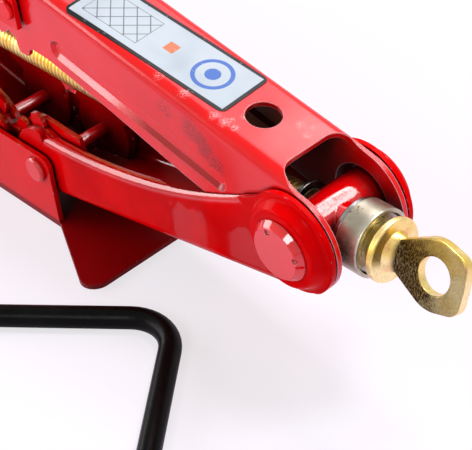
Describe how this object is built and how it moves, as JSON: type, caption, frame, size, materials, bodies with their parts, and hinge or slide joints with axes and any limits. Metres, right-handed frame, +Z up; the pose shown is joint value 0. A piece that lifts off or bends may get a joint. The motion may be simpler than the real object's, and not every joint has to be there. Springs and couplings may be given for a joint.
{
  "type": "scissor jack",
  "caption": "Red scissor car jack: pressed channel arms geared at base and saddle, raised by a lead screw with thrust bearing and flat eye, with a loose crank handle.",
  "frame": {"origin": "middle of the base plate's underside, on the floor", "axes": "+X along the screw towards its eye, +Z up, -Y the side that the crank lies on"},
  "size_m": [0.4692, 0.2908, 0.1476],
  "materials": {
    "red_paint": "gloss enamel, lightly chipped",
    "label_film": "satin film",
    "yellow_zinc": "yellow zinc plate",
    "bright_zinc": "bright zinc plate",
    "bearing_steel": "polished",
    "black_paint": "semi-gloss"
  },
  "bodies": {
    "base": {"base_plate": "red_paint", "base_pin_right": "red_paint", "base_pin_left": "red_paint"},
    "lower_right": {"lower_arm_right": "red_paint"},
    "lower_left": {"lower_arm_left": "red_paint"},
    "thrust": {"thrust_trunnion": "red_paint", "thrust_washer": "yellow_zinc", "bearing_cup": "bright_zinc", "bearing_balls": "bearing_steel"},
    "screw": {"lead_screw": "yellow_zinc", "screw_eye": "yellow_zinc", "bearing_race": "bearing_steel", "retaining_ring": "bearing_steel", "screw_stop_ring": "bearing_steel"},
    "upper_right": {"upper_arm_right": "red_paint", "label_sticker": "label_film"},
    "top": {"saddle": "red_paint", "saddle_pin_right": "red_paint", "saddle_pin_left": "red_paint"},
    "nut": {"nut_trunnion": "red_paint"},
    "upper_left": {"upper_arm_left": "red_paint"},
    "crank": {"crank_handle": "black_paint"}
  },
  "joints": [
    {"name": "lift", "type": "hinge", "parent": "base", "child": "lower_right", "pos_m": [0.0217, 0, 0.029], "axis": [0, -1, 0], "range_deg": [-4.5, 58]},
    {"name": "lower_left_pivot", "type": "hinge", "parent": "base", "child": "lower_left", "pos_m": [-0.0217, 0, 0.029], "axis": [0, 1, 0], "range_deg": [-4.5, 58]},
    {"name": "thrust_pivot", "type": "hinge", "parent": "lower_right", "child": "thrust", "pos_m": [0.18335, 0, 0.0693], "axis": [0, 1, 0], "range_deg": [-4.5, 58]},
    {"name": "upper_right_pivot", "type": "hinge", "parent": "thrust", "child": "upper_right", "pos_m": [0.18335, 0, 0.0693], "axis": [0, 1, 0], "range_deg": [-4.5, 58]},
    {"name": "saddle_pivot", "type": "hinge", "parent": "upper_right", "child": "top", "pos_m": [0.0217, 0, 0.10961], "axis": [0, -1, 0], "range_deg": [-4.5, 58]},
    {"name": "nut_pivot", "type": "hinge", "parent": "lower_left", "child": "nut", "pos_m": [-0.18335, 0, 0.0693], "axis": [0, -1, 0], "range_deg": [-4.5, 58]},
    {"name": "upper_left_pivot", "type": "hinge", "parent": "nut", "child": "upper_left", "pos_m": [-0.18335, 0, 0.0693], "axis": [0, -1, 0], "range_deg": [-4.5, 58]},
    {"name": "screw_spin", "type": "hinge", "parent": "thrust", "child": "screw", "pos_m": [0.18335, 0, 0.0693], "axis": [1, 0, 0], "continuous": true},
    {"name": "crank_lift", "type": "slide", "parent": "base", "child": "crank", "axis": [0, 0, 1], "range_m": [0, 0.2]}
  ],
  "couplings": [
    {"joint": "lower_left_pivot", "follows": "lift", "ratio": 1},
    {"joint": "thrust_pivot", "follows": "lift", "ratio": 1},
    {"joint": "upper_right_pivot", "follows": "lift", "ratio": 1},
    {"joint": "saddle_pivot", "follows": "lift", "ratio": 1},
    {"joint": "nut_pivot", "follows": "lift", "ratio": 1},
    {"joint": "upper_left_pivot", "follows": "lift", "ratio": 1}
  ]
}
